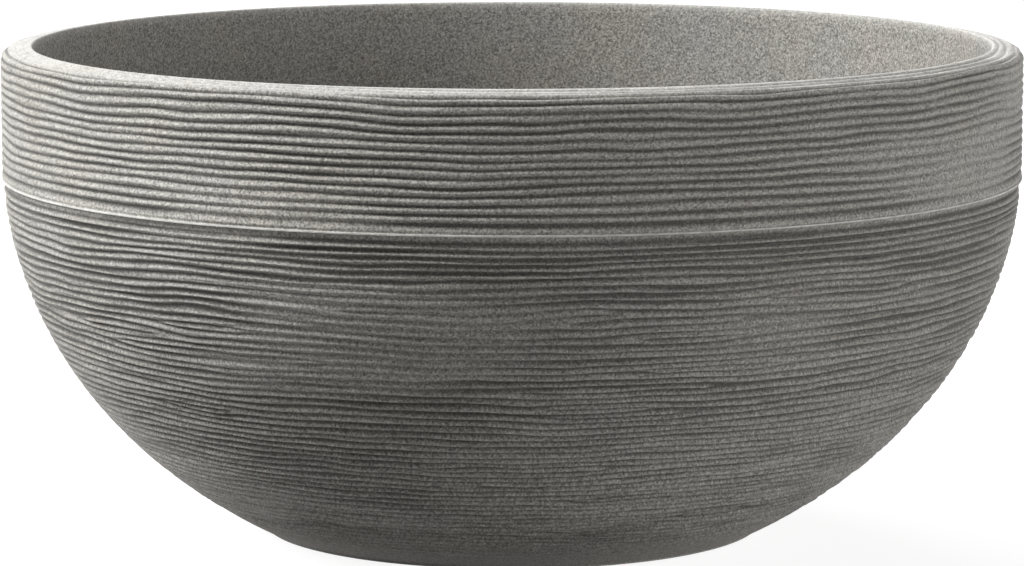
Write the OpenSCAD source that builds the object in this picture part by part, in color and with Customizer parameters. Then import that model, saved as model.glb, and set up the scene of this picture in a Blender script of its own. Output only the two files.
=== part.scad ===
// Low round planter: a double-walled bowl with a ridged outside, a smooth
// planting liner and a drain that a bung closes from below.
// Heights in the body run from the underside of its base, and the foot pads
// lift that underside off the ground. All sizes are in millimetres.

/* [Body] */
// Widest outside diameter, over the ridges
outer_d = 480; // [440:5:520]
// Height from the base's underside to the top of the rim
body_h = 230; // [215:1:250]
// Diameter of the flat ring that the base ends in
base_d = 230; // [210:2:250]
// Height at which the curved side turns upright
curve_h = 179; // [176:1:190]
// Height of the joint between the collar and the bowl
seam_h = 168; // [155:1:172]

/* [Walls] */
// Skin of the bowl and of the collar
wall = 4; // [3.6:0.1:5]
// Skin of the liner
liner_wall = 3.5; // [2.5:0.1:4]
// Width across the rim, from the ridges to the planting space
rim_w = 15; // [14.5:0.1:18]
// Thickness of the rim's top at its inner edge
rim_t = 5; // [4.4:0.1:6]
// How far the rim's top falls from its inner edge to its outer corner
rim_fall = 1.5; // [1:0.1:2]
// Gap left between moulded pieces that slip together
slip = 0.2; // [0.1:0.05:0.3]

/* [Rim and joint] */
// Radius of the rim's outer corner
corner_r = 5; // [4.5:0.1:6]
// Radius of the rim's inner corner
lip_r = 1.2; // [0.6:0.1:1.5]
// Depth of the rib under the rim that holds the liner in place
rib_h = 12; // [8:1:16]
// Thickness of that rib and of the bowl's spigot
rib_t = 2.5; // [2:0.1:3]
// How far the spigot reaches up into the collar
spigot_h = 12; // [10:1:18]
// How far the snap bead stands out of the spigot
bead_out = 0.8; // [0.4:0.1:1]
// Height of the snap bead above the joint
bead_up = 7; // [5:0.5:7]
// How far the liner's lip reaches out under the rib
lip_out = 3; // [2:0.1:3]

/* [Ridges] */
// Spacing of the ridges on the collar
collar_pitch = 4.4; // [3.6:0.1:6]
// Spacing of the ridges on the bowl, along its curve
bowl_pitch = 4.2; // [3.8:0.1:6]
// Depth of the grooves between ridges
ridge_depth = 1.1; // [0.6:0.1:1.4]
// Distance from the joint up to the collar's first groove
collar_margin = 5; // [2:0.5:8]
// Distance from the joint down to the bowl's first groove
bowl_margin = 2.5; // [1.5:0.5:6]
// Height above which the bowl's grooves have their full depth
fade_top = 45; // [35:1:60]
// Height below which the bowl is plain
fade_end = 9; // [4:1:20]

/* [Base and liner floor] */
// Height of the raised middle of the base, on its underside
panel_h = 14; // [13:0.5:18]
// Diameter of the raised middle
panel_d = 120; // [110:1:124]
// How far the raised middle's side slopes out
panel_slope = 8; // [5:1:9]
// Depth of the dished part of the liner's floor
sump_depth = 2; // [1:0.5:4]
// Diameter of that dished part
sump_d = 68; // [64:1:80]
// Number of ribs that carry the liner's floor
floor_rib_count = 6; // [4:1:8]
// Thickness of a floor rib
floor_rib_t = 3; // [2:0.5:4]
// Length of a floor rib, outwards from the raised middle
floor_rib_l = 38; // [24:1:42]

/* [Drain] */
// Diameter of the drain's bore
bore_d = 24; // [20:1:26]
// Wall of the drain bush
bush_wall = 3; // [2:0.5:3]
// Diameter of the bush's flange
flange_d = 48; // [44:1:50]
// Thickness of the bush's flange
flange_t = 3; // [2:0.5:4]
// Thickness of the seal under the flange
seal_t = 1.5; // [1:0.1:2]
// Diameter of the lock ring
lock_d = 46; // [42:1:54]
// Thickness of the lock ring
lock_t = 5; // [4:0.5:5.5]
// Length of the bush that shows below the lock ring
bush_tail = 2; // [1:0.5:2.5]
// Diameter of the bung's head
head_d = 34; // [31:1:38]
// Thickness of the bung's head
head_t = 3; // [2:0.5:3.5]
// Length of the bung inside the bore
bung_l = 9; // [8:0.5:12]
// Gap round the bung's sealing beads
bung_gap = 0.08; // [0.04:0.02:0.1]

/* [Strainer] */
// Diameter of the strainer
strainer_d = 56; // [52:1:60]
// Height of the strainer above the sump
strainer_h = 6; // [5:0.5:9]
// Thickness of the strainer's top and of its skirt
strainer_t = 2; // [1.5:0.1:2.5]
// Number of slots in the strainer's top
slot_count = 12; // [8:1:16]
// Width of a slot
slot_w = 2.6; // [1.5:0.1:3]
// Length of the strainer's neck inside the bore
neck_l = 5; // [3:0.5:5.5]
// Height of the strainer's knob
knob_h = 8; // [6:0.5:12]

/* [Foot pads] */
// How far the pads lift the base off the ground
pad_stand = 2; // [1:0.5:5]
// Diameter of a pad
pad_d = 18; // [14:1:20]
// Distance of the pads from the middle of the base
pad_ring_r = 92; // [86:1:94]
// Diameter of a pad's stem
stem_d = 8; // [6:0.5:9]
// Length of a pad's stem
stem_l = 5; // [4:0.5:7]

/* [Hidden] */
$fn = 96;

out_r = outer_d / 2;
base_r = base_d / 2;
// Half height of the side's ellipse, so that it ends on the flat ring
curve_b = curve_h / sqrt(1 - pow(base_r / out_r, 2));
curve_steps = 20;
base_edge = 1.5;
// How far a cut runs past the face that it opens
over = 1;

panel_r = panel_d / 2;
panel_foot_r = panel_r + panel_slope;
panel_top = panel_h + wall;
recess_h = panel_top + liner_wall;
sump_h = recess_h + seal_t + flange_t;
floor_h = sump_h + sump_depth;
sump_r = sump_d / 2;
step_gap = 0.5;

bore_r = bore_d / 2;
bush_r = bore_r + bush_wall;
hole_r = bush_r + slip;
flange_r = flange_d / 2;
lock_h = panel_h - lock_t;
tail_h = lock_h - bush_tail;
lock_notches = 8;
lock_notch_r = 2.5;

bung_r = bore_r - bung_gap;
bung_neck = 0.7;
bung_bead_l = 3;
grip_w = 3.5;
grip_l = 20;
grip_h = 3;

strainer_r = strainer_d / 2;
neck_r = bore_r - slip;
slot_in_r = 7;
slot_end = 3;
notch_count = 8;
notch_w = 8;
notch_h = 2.5;
knob_r = 3;
knob_cap_r = 5;
knob_cap_h = 2.5;

spigot_r = out_r - wall - slip;
spigot_in_r = spigot_r - rib_t;
spigot_ramp = 5;
bead_half = 1.5;
rib_r = out_r - rim_w + liner_wall + slip;
rib_low_h = body_h - rim_t - rib_h;
liner_lip_t = 2.5;

pad_count = 4;
pad_r = pad_d / 2;
stem_r = stem_d / 2;
stem_gap = 0.1;
boss_wall = 3;

stone = [0.42, 0.41, 0.39];
stone_inside = [0.47, 0.46, 0.44];
drain_plastic = [0.16, 0.16, 0.16];
rubber = [0.08, 0.08, 0.08];

// A point of the side's curve, t degrees below its widest point and inset
// into the wall, as [radius, height]
function curve_at(t, inset = 0) =
    let (n = [cos(t) / out_r, -sin(t) / curve_b])
    [out_r * cos(t), curve_h - curve_b * sin(t)] - inset * n / norm(n);

// Millimetres of curve that one degree of t covers
function curve_speed(t) =
    norm([out_r * sin(t), curve_b * cos(t)]) * PI / 180;

// The t at which the inset curve passes a height, by halving
function curve_t(h, inset = 0, low = 0, high = 85, left = 30) =
    let (mid = (low + high) / 2)
    left == 0 ? mid
    : curve_at(mid, inset)[1] > h ? curve_t(h, inset, mid, high, left - 1)
    : curve_t(h, inset, low, mid, left - 1);

function curve_line(inset, t_from, t_to) = [
    for (i = [0:curve_steps])
        curve_at(t_from + (t_to - t_from) * i / curve_steps, inset)
];

// Depth of the surface at the k-th quarter of a ridge: a groove, a shoulder,
// the crest and a shoulder
function ridge_dip(k) = ridge_depth * [1, 0.25, 0, 0.25][k % 4];

function fade(h) = min(1, max(0, (h - fade_end) / (fade_top - fade_end)));

// The bowl's outside, from the joint down to where it turns plain
bowl_first_t = curve_t(seam_h - bowl_margin);
bowl_last_t = curve_t(fade_end);
bowl_ridges = [
    for (
        k = 0, t = bowl_first_t;
        t < bowl_last_t;
        t = t + bowl_pitch / 4 / curve_speed(t), k = k + 1
    )
        curve_at(t, ridge_dip(k) * fade(curve_at(t)[1]))
];

// The collar's outside, s millimetres up from the joint: upright, round the
// corner and in across the rim
corner_h = body_h - rim_fall - corner_r;
upright_l = corner_h - seam_h;
corner_l = corner_r * PI / 2;
top_l = rim_w - corner_r - lip_r;
function collar_at(s, inset = 0) =
    s < upright_l ? [out_r - inset, seam_h + s]
    : s < upright_l + corner_l
        ? let (a = (s - upright_l) / corner_r * 180 / PI)
          [out_r - corner_r, corner_h]
          + (corner_r - inset) * [cos(a), sin(a)]
    : let (u = s - upright_l - corner_l)
      [out_r - corner_r - u, corner_h + corner_r + rim_fall * u / top_l - inset];
collar_ridge_l = upright_l + corner_l + top_l - collar_margin;
collar_quarters = 4 * round(collar_ridge_l / collar_pitch);
collar_ridges = [
    for (k = [0:collar_quarters])
        collar_at(
            collar_margin + collar_ridge_l * k / collar_quarters,
            k == collar_quarters ? 0 : ridge_dip(k)
        )
];

module on_pads() {
    translate([0, 0, pad_stand]) children();
}

// A ring between two radii and two heights
module tube(r_in, r_out, h_low, h_high) {
    translate([0, 0, h_low])
    difference() {
        cylinder(r = r_out, h = h_high - h_low);
        translate([0, 0, -over]) cylinder(r = r_in, h = h_high - h_low + 2 * over);
    }
}

function pad_angle(i) = 45 + 360 / pad_count * (i - 1);

module at_pad(i) {
    rotate([0, 0, pad_angle(i)]) translate([pad_ring_r, 0, 0]) children();
}

// The bowl with its base, the raised middle and the spigot at the joint
module bowl_shell() {
    seam_out_r = curve_at(curve_t(seam_h))[0];
    ramp_h = seam_h - spigot_ramp - rib_t;
    rotate_extrude()
    polygon(concat(
        [[seam_out_r, seam_h]],
        bowl_ridges,
        curve_line(0, curve_t(fade_end), curve_t(base_edge)),
        [
            [base_r - base_edge, 0],
            [panel_foot_r, 0],
            [panel_r, panel_h],
            [hole_r, panel_h],
            [hole_r, panel_top],
            [panel_r + wall / 2, panel_top],
            [panel_foot_r + wall / 2, wall]
        ],
        curve_line(wall, curve_t(wall, wall), curve_t(ramp_h, wall)),
        [
            [spigot_in_r, seam_h - spigot_ramp],
            [spigot_in_r, seam_h + spigot_h],
            [spigot_r, seam_h + spigot_h],
            [spigot_r, seam_h + bead_up + bead_half],
            [spigot_r + bead_out, seam_h + bead_up],
            [spigot_r, seam_h + bead_up - bead_half],
            [spigot_r, seam_h]
        ]
    ));
}

module floor_ribs() {
    rib_from = panel_r + wall / 2;
    for (i = [0:floor_rib_count - 1])
        rotate([0, 0, 360 / floor_rib_count * i])
        translate([rib_from, -floor_rib_t / 2, wall / 2])
        cube([floor_rib_l, floor_rib_t, floor_h - liner_wall - wall / 2]);
}

module lower_bowl() {
    boss_h = stem_l + boss_wall;
    socket_h = stem_l + stem_gap;
    color(stone)
    on_pads()
    difference() {
        union() {
            bowl_shell();
            floor_ribs();
            for (i = [1:pad_count])
                at_pad(i) translate([0, 0, wall / 2])
                cylinder(r = stem_r + boss_wall, h = boss_h - wall / 2);
        }
        for (i = [1:pad_count])
            at_pad(i) translate([0, 0, -over])
            cylinder(r = stem_r + stem_gap, h = socket_h + over);
    }
}

module upper_collar() {
    rim_in_r = out_r - rim_w;
    under_h = body_h - rim_t;
    skin_r = out_r - wall;
    groove_half = bead_half + slip;
    color(stone)
    on_pads()
    rotate_extrude()
    polygon(concat(
        [[out_r, seam_h]],
        collar_ridges,
        [
            for (a = [30:30:90])
                [rim_in_r + lip_r, body_h - lip_r]
                + lip_r * [-sin(a), cos(a)]
        ],
        [
            [rim_in_r, under_h],
            [rib_r, under_h],
            [rib_r, rib_low_h],
            [rib_r + rib_t, rib_low_h],
            [rib_r + rib_t, under_h],
            [skin_r, under_h],
            [skin_r, seam_h + bead_up + groove_half],
            [skin_r + bead_out, seam_h + bead_up],
            [skin_r, seam_h + bead_up - groove_half],
            [skin_r, seam_h]
        ]
    ));
}

module inner_liner() {
    skin = rim_w - liner_wall;
    under_floor_h = floor_h - liner_wall;
    lip_top_h = rib_low_h - slip;
    recess_r = flange_r + step_gap;
    top_h = body_h - rim_t - slip;
    color(stone_inside)
    on_pads()
    rotate_extrude()
    polygon(concat(
        [
            [out_r - rim_w, top_h]
        ],
        curve_line(rim_w, 0, curve_t(floor_h, rim_w)),
        [
            [sump_r, floor_h],
            [sump_r, sump_h],
            [recess_r, sump_h],
            [recess_r, recess_h],
            [hole_r, recess_h],
            [hole_r, panel_top],
            [recess_r + liner_wall, panel_top],
            [recess_r + liner_wall, sump_h - liner_wall],
            [sump_r + liner_wall, sump_h - liner_wall],
            [sump_r + liner_wall, under_floor_h]
        ],
        curve_line(skin, curve_t(under_floor_h, skin), 0),
        [
            [out_r - skin, lip_top_h - liner_lip_t],
            [out_r - skin + lip_out, lip_top_h - liner_lip_t],
            [out_r - skin + lip_out, lip_top_h],
            [out_r - skin, lip_top_h],
            [out_r - skin, top_h]
        ]
    ));
}

module drain_bush() {
    color(drain_plastic)
    on_pads()
    difference() {
        union() {
            translate([0, 0, tail_h]) cylinder(r = bush_r, h = sump_h - tail_h);
            translate([0, 0, sump_h - flange_t])
            cylinder(r = flange_r, h = flange_t);
        }
        translate([0, 0, tail_h - over])
        cylinder(r = bore_r, h = sump_h - tail_h + 2 * over);
    }
}

module flange_seal() {
    color(rubber)
    on_pads()
    tube(hole_r, flange_r, recess_h, recess_h + seal_t);
}

module lock_ring() {
    color(drain_plastic)
    on_pads()
    difference() {
        tube(bush_r + slip / 2, lock_d / 2, lock_h, panel_h);
        for (i = [0:lock_notches - 1])
            rotate([0, 0, 360 / lock_notches * i])
            translate([lock_d / 2, 0, lock_h - over])
            cylinder(r = lock_notch_r, h = lock_t + 2 * over);
    }
}

// The bung: a head, two sealing beads with a neck between, and a grip
module drain_plug() {
    tip_h = tail_h + bung_l;
    neck_r2 = bung_r - bung_neck;
    color(rubber)
    on_pads() {
        rotate_extrude()
        polygon([
            [0, tail_h - head_t],
            [head_d / 2, tail_h - head_t],
            [head_d / 2, tail_h],
            [bung_r, tail_h],
            [bung_r, tail_h + bung_bead_l],
            [neck_r2, tail_h + bung_bead_l + bung_neck],
            [neck_r2, tip_h - bung_bead_l - bung_neck],
            [bung_r, tip_h - bung_bead_l],
            [bung_r, tip_h - bung_neck],
            [neck_r2, tip_h],
            [0, tip_h]
        ]);
        translate([-grip_l / 2, -grip_w / 2, tail_h - head_t - grip_h])
        cube([grip_l, grip_w, grip_h + head_t / 2]);
    }
}

// The strainer: a slotted cap on a notched skirt, with a neck that drops
// into the drain's bore and a knob to lift it by
module drain_strainer() {
    top_h = sump_h + strainer_h;
    under_h = top_h - strainer_t;
    slot_l = strainer_r - strainer_t - slot_end - slot_in_r;
    color(drain_plastic)
    on_pads()
    difference() {
        union() {
            translate([0, 0, under_h]) cylinder(r = strainer_r, h = strainer_t);
            tube(strainer_r - strainer_t, strainer_r, sump_h, under_h);
            tube(neck_r - strainer_t, neck_r, sump_h - neck_l, under_h);
            translate([0, 0, top_h]) cylinder(r = knob_r, h = knob_h);
            translate([0, 0, top_h + knob_h - knob_cap_h])
            cylinder(r = knob_cap_r, h = knob_cap_h);
        }
        for (i = [0:slot_count - 1])
            rotate([0, 0, 360 / slot_count * (i + 0.5)])
            translate([slot_in_r, -slot_w / 2, sump_h + notch_h])
            cube([slot_l, slot_w, strainer_h]);
        for (i = [0:notch_count - 1])
            rotate([0, 0, 360 / notch_count * i])
            translate([strainer_r - strainer_t - over, -notch_w / 2, sump_h - over])
            cube([strainer_t + 2 * over, notch_w, notch_h + over]);
    }
}

module foot_pad(i) {
    color(rubber)
    at_pad(i) {
        cylinder(r = pad_r, h = pad_stand);
        cylinder(r = stem_r, h = pad_stand + stem_l);
    }
}

lower_bowl();
upper_collar();
inner_liner();
drain_bush();
flange_seal();
lock_ring();
drain_plug();
drain_strainer();
foot_pad(1);  // foot_pad_1
foot_pad(2);  // foot_pad_2
foot_pad(3);  // foot_pad_3
foot_pad(4);  // foot_pad_4
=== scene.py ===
"""Low round planter: its ridged skins, smooth liner, drain finishes and stage."""
import math
from functools import partial

import bpy
from bpy.props import (
    FloatProperty, FloatVectorProperty, IntProperty, PointerProperty,
)
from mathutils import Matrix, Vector


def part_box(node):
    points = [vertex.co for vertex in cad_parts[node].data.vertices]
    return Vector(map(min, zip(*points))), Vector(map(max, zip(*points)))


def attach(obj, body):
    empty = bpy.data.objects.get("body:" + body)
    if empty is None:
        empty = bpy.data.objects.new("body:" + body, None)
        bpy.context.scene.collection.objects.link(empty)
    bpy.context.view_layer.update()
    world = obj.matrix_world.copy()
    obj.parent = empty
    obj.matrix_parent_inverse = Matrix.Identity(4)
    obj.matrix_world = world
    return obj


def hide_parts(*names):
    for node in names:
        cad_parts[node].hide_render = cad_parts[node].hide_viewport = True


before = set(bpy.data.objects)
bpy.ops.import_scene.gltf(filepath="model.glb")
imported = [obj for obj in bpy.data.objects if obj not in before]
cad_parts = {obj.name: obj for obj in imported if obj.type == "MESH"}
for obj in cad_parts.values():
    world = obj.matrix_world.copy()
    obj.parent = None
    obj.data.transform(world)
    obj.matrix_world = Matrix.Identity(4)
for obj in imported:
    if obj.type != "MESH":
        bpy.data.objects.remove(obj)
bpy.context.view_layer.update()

bl_info = {
    "name": "Low Round Planter",
    "version": (1, 0, 0),
    "blender": (4, 5, 0),
    "location": "View3D > Sidebar > Planter",
    "description": "Makes a low round planter with a ridged, stone-effect skin",
    "category": "Object",
}

MM = 0.001
MATH = "ShaderNodeMath"
VECTOR = "ShaderNodeVectorMath"
RANGE = "ShaderNodeMapRange"
MIX = "ShaderNodeMix"
NOISE = "ShaderNodeTexNoise"
# Settings of a range that eases in and out, and of a mix of colours
EASED = {"interpolation_type": "SMOOTHSTEP"}
COLOURS = {"data_type": "RGBA", "out": 2}

COLLAR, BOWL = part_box("upper_collar"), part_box("lower_bowl")
# The drain's pieces give the heights of the floors that they sit on
BUSH_R, _, BUSH_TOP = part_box("drain_bush")[1]
SEAL_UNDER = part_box("flange_seal")[0][2]
PANEL_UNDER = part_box("lock_ring")[1][2]
# The rim's thickness over the liner, the height of the rib under it, the thickness
# of that rib and of the other thin walls out of sight, and the play between pieces
RIM_T = 5 * MM
RIB_H = 12 * MM
THIN_T = 2.5 * MM
PLAY = 0.2 * MM
# Spacing of rows of points on a curve out of sight
HIDDEN_ROW = 8 * MM


def linear(code):
    """Turn an sRGB hex colour such as '#8F8D87' into linear RGBA."""
    parts = [int(code[i:i + 2], 16) / 255 for i in (1, 3, 5)]
    parts = [c / 12.92 if c <= 0.04045 else ((c + 0.055) / 1.055) ** 2.4 for c in parts]
    return (*parts, 1.0)


def length_prop(name, about, default):
    """A size in metres that a user can change."""
    return FloatProperty(name=name, description=about, default=default, unit="LENGTH")


def number_prop(name, about, default):
    """A share or another plain number that a user can change."""
    return FloatProperty(name=name, description=about, default=default)


def colour_prop(name, about, code):
    """A colour that a user can change, given as sRGB hex."""
    return FloatVectorProperty(name=name, description=about, default=linear(code),
                               subtype="COLOR", size=4, min=0.0, max=1.0)


def add(tree, kind, inputs=(), out=0, **settings):
    """Add a node with its settings, set or link its inputs, and return an output.

    inputs lists the first sockets' values, or is a dict by socket name or place."""
    node = tree.nodes.new(kind)
    for name, value in settings.items():
        setattr(node, name, value)
    for key, value in inputs.items() if isinstance(inputs, dict) else enumerate(inputs):
        if isinstance(value, bpy.types.NodeSocket):
            tree.links.new(value, node.inputs[key])
        else:
            node.inputs[key].default_value = value
    return node if out is None else node.outputs[out]


# Sizes


class PlanterShape(bpy.types.PropertyGroup):
    """Sizes of the planter's skins."""

    outer_r: length_prop("Outer radius", "Widest radius, over the ridges", 0.240)
    rim_h: length_prop(
        "Rim height", "Height of the rim's inner edge over the ground", COLLAR[1][2])
    base_h: length_prop(
        "Base height", "Height of the base's flat ring over the ground", BOWL[0][2])
    joint_h: length_prop(
        "Joint height", "Height of the joint between collar and bowl", COLLAR[0][2])
    curve_h: length_prop("Curve height", "Height at which the side turns upright", 0.181)
    base_r: length_prop("Base radius", "Radius at which the side meets the base", 0.115)
    rim_w: length_prop("Rim width", "Width across the rim", 0.015)
    rim_fall: length_prop(
        "Rim fall", "Fall of the rim's top from inside to outside", 0.0015)
    corner_r: length_prop("Corner radius", "Radius of the rim's outer corner", 0.005)
    lip_r: length_prop("Lip radius", "Radius of the rim's inner corner", 0.0012)
    wall: length_prop("Wall", "Skin of the bowl and the collar", 0.004)
    liner_wall: length_prop("Liner wall", "Skin of the liner", 0.0035)
    panel_r: length_prop("Panel radius", "Radius of the raised middle of the base", 0.060)
    panel_slope: length_prop(
        "Panel slope", "How far the raised middle's side slopes out", 0.008)
    sump_r: length_prop(
        "Sump radius", "Radius of the dished part of the liner's floor", 0.034)
    sump_depth: length_prop("Sump depth", "Depth of that dished part", 0.002)
    hole_r: length_prop(
        "Hole radius", "Radius of the holes that the drain bush fills", 0.0152)
    columns: IntProperty(
        name="Columns", description="Columns of faces around each skin",
        default=192, min=64, max=512)


class PlanterRidges(bpy.types.PropertyGroup):
    """Spacing and unevenness of the ridges, and the joint between the two skins."""

    collar_pitch: length_prop("Collar pitch", "Spacing of the ridges on the collar", 0.0040)
    bowl_pitch: length_prop("Bowl pitch", "Spacing of the ridges on the bowl", 0.0039)
    collar_depth: length_prop(
        "Collar depth", "Depth of the grooves between the collar's ridges", 0.0020)
    bowl_depth: length_prop(
        "Bowl depth", "Depth of the grooves between the bowl's ridges", 0.0022)
    row: length_prop("Row", "Spacing of the rows of points that carry the ridges", 0.00042)
    collar_wander: length_prop(
        "Collar wander", "How far the collar's ridges wander together", 0.0065)
    bowl_wander: length_prop(
        "Bowl wander", "How far the bowl's ridges wander together", 0.0065)
    wander_length: length_prop("Wander length", "Length along a ridge of one wander", 0.085)
    wander_height: length_prop(
        "Wander height", "Height over which ridges wander together", 0.030)
    collar_jitter: length_prop(
        "Collar jitter", "How far each of the collar's ridges strays alone", 0.0014)
    bowl_jitter: length_prop(
        "Bowl jitter", "How far each of the bowl's ridges strays alone", 0.0021)
    collar_shallow: number_prop(
        "Collar shallow", "Share of the depth that the collar's grooves keep", 0.75)
    bowl_shallow: number_prop(
        "Bowl shallow", "Share of the depth that the bowl's grooves keep", 0.78)
    calm: number_prop(
        "Calm", "Share of the depth that grooves keep where they are faint", 0.55)
    side: number_prop("Side", "Share of the depth that grooves keep at the two sides", 0.4)
    parting: FloatProperty(
        name="Parting", description="Angle by which the mould's parting is turned",
        default=math.radians(10), unit="ROTATION")
    collar_narrow: number_prop(
        "Collar narrow", "How far some of its ridges are drawn to a crest", 0.15)
    bowl_narrow: number_prop(
        "Bowl narrow", "How far some of its ridges are drawn to a crest", 0.9)
    collar_fine: length_prop(
        "Collar fine lines", "Depth of fine lines between the grooves", 0.0002)
    bowl_fine: length_prop(
        "Bowl fine lines", "Depth of fine lines between the grooves", 0.0006)
    collar_forks: IntProperty(
        name="Collar forks", description="Short ridges on the collar between two others",
        default=4, min=0, max=120)
    bowl_forks: IntProperty(
        name="Bowl forks", description="Short ridges on the bowl between two others",
        default=60, min=0, max=120)
    seed: IntProperty(
        name="Seed", description="Seed of the wander and the forks", default=7)
    lip_h: length_prop(
        "Joint lip", "Height of the thin lip along the collar's lower edge", 0.0010)
    lip_out: length_prop(
        "Lip stands out", "How far that lip stands out of the bead over it", 0.0006)
    bead_h: length_prop(
        "Lowest bead", "Height from that lip to the collar's first groove", 0.0041)
    band_h: length_prop(
        "Band", "Height of the plain band along the bowl's upper edge", 0.0032)
    band_in: length_prop("Band depth", "How far that band lies behind the ridges", 0.0012)


class PlanterFinish(bpy.types.PropertyGroup):
    """Colours of the mouldings."""

    grain_dark: colour_prop(
        "Dark grain", "Darkest grain in the stone-effect plastic", "#555451")
    grain_light: colour_prop(
        "Light grain", "Lightest grain in the stone-effect plastic", "#A9A8A5")
    fleck_dark: colour_prop("Dark fleck", "Single dark grains of pigment", "#484643")
    fleck_light: colour_prop("Light fleck", "Single pale grains of pigment", "#C8C6C2")
    # Painted light: how much paler the collar and the liner are drawn than the bowl, for
    # the light that falls on them
    collar_painted_light: number_prop(
        "Collar paler", "How many times paler the collar's plastic is", 1.13)
    liner_painted_light: number_prop(
        "Liner paler", "How many times paler the liner's plastic is", 1.02)
    # Pale for handling wear, and a painted highlight on the crests, the joint's lip and the
    # rim's top
    rubbed: colour_prop("Rubbed", "Edges and crests that handling has paled", "#C8C7C3")
    # Dust in the grooves, and painted shade there too
    dust_and_shade: colour_prop("Dust", "Soil dust that settles in the grooves", "#3C3B38")
    drain: colour_prop("Drain", "Colour of the drain's plastic mouldings", "#2B2B2B")
    rubber: colour_prop("Rubber", "Colour of the bung, the seal and the pads", "#1B1B1C")


class PlanterStage(bpy.types.PropertyGroup):
    """Camera, floor and lamps."""

    look_at: FloatVectorProperty(
        name="Look at", description="Point that the camera looks at",
        default=(0.0, 0.0, 0.117), subtype="TRANSLATION")
    distance: length_prop("Distance", "Distance from the camera to that point", 2.326)
    elevation: FloatProperty(
        name="Elevation", description="Height angle of the camera over the horizon",
        default=math.radians(7.965), unit="ROTATION")
    lens: number_prop("Lens", "Focal length in millimetres on a 36 mm sensor", 172.4)
    sky: number_prop("Sky", "Strength of the even light from all round", 0.0)
    lamp_far: length_prop("Lamp distance", "Distance from each lamp to the planter", 2.6)
    floor: colour_prop("Floor", "Colour of the floor where lamps light it", "#8A8A8A")
    floor_glow: number_prop(
        "Floor glow", "How white the camera sees the floor in full shade", 0.90)
    floor_white: length_prop(
        "White from", "Distance from the axis at which the floor turns white", 1.0)


# Outlines


class Outline:
    """A closed outline in the plane of the axis, and what each of its points carries:
    its distance along the ridged face, how much of a ridge it takes, how far it is painted
    pale, as handling wear and as a painted highlight, and which way its ridges stand out."""

    def __init__(self):
        self.points = []

    def add(self, r, h, along=0.0, ridged=0.0, worn=0.0, facing=(0.0, 0.0)):
        self.points.append((r, h, along, ridged, worn, facing))

    def corners(self, *places):
        """Add plain corners."""
        for r, h in places:
            self.add(r, h)

    def follow(self, side, t_from, t_to, step, inset=0.0):
        """Add plain points along the curved side."""
        for t, _ in side.walk(t_from, t_to, step):
            self.add(*side.at(t, inset)[:2])

    def arc(self, r, h, radius, start, end, steps=4):
        """Add points on a worn round corner, from one angle to another in degrees."""
        for i in range(steps + 1):
            a = math.radians(start + (end - start) * i / steps)
            self.add(r + radius * math.cos(a), h + radius * math.sin(a), worn=0.35)

    def object(self, name):
        """Make a mesh of the outline, with its values as attributes."""
        mesh = bpy.data.meshes.new(name)
        count = len(self.points)
        # Turned about the axis, an outline that runs clockwise faces outwards
        area = sum(p[0] * q[1] - q[0] * p[1]
                   for p, q in zip(self.points, self.points[1:] + self.points[:1]))
        if area > 0:
            self.points.reverse()
        mesh.from_pydata([(r, 0.0, h) for r, h, *_ in self.points],
                         [(i, (i + 1) % count) for i in range(count)], [])
        for place, label in enumerate(("along", "ridged", "worn"), 2):
            values = mesh.attributes.new(label, "FLOAT", "POINT").data
            values.foreach_set("value", [point[place] for point in self.points])
        facing = mesh.attributes.new("facing", "FLOAT_VECTOR", "POINT").data
        for i, (*_, (out, up)) in enumerate(self.points):
            facing[i].vector = (out, 0.0, up)
        made = bpy.data.objects.new(name, mesh)
        bpy.context.scene.collection.objects.link(made)
        return made


def smooth(x):
    """Ease from 0 to 1."""
    x = min(1.0, max(0.0, x))
    return x * x * (3 - 2 * x)


class Side:
    """The bowl's curved side, an upright ellipse that ends on the base ring."""

    def __init__(self, shape):
        self.a = shape.outer_r
        self.c = shape.curve_h
        rise = shape.curve_h - shape.base_h
        self.b = rise / math.sqrt(1 - (shape.base_r / shape.outer_r) ** 2)

    def at(self, t, inset=0.0):
        """Point and outward direction t radians below the widest point."""
        nx, nz = math.cos(t) / self.a, -math.sin(t) / self.b
        size = math.hypot(nx, nz)
        nx, nz = nx / size, nz / size
        return (self.a * math.cos(t) - inset * nx,
                self.c - self.b * math.sin(t) - inset * nz, (nx, nz))

    def t_of(self, height, inset=0.0):
        """The t at which the inset curve passes a height."""
        low, high = 0.0, math.radians(86)
        for _ in range(40):
            middle = (low + high) / 2
            if self.at(middle, inset)[1] > height:
                low = middle
            else:
                high = middle
        return low

    def walk(self, t_from, t_to, step):
        """Values of t from one to another, and the curve's length up to each."""
        count = 4000
        spots = [t_from + (t_to - t_from) * i / count for i in range(count + 1)]
        total, sums = 0.0, [0.0]
        for u, v in zip(spots, spots[1:]):
            p, q = self.at(u), self.at(v)
            total += math.hypot(q[0] - p[0], q[1] - p[1])
            sums.append(total)
        rows = max(1, round(total / step))
        out, k = [], 0
        for i in range(rows + 1):
            goal = total * i / rows
            while k < count - 1 and sums[k + 1] < goal:
                k += 1
            share = (goal - sums[k]) / max(1e-12, sums[k + 1] - sums[k])
            out.append((spots[k] + (spots[k + 1] - spots[k]) * min(1.0, share), goal))
        return out


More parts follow.
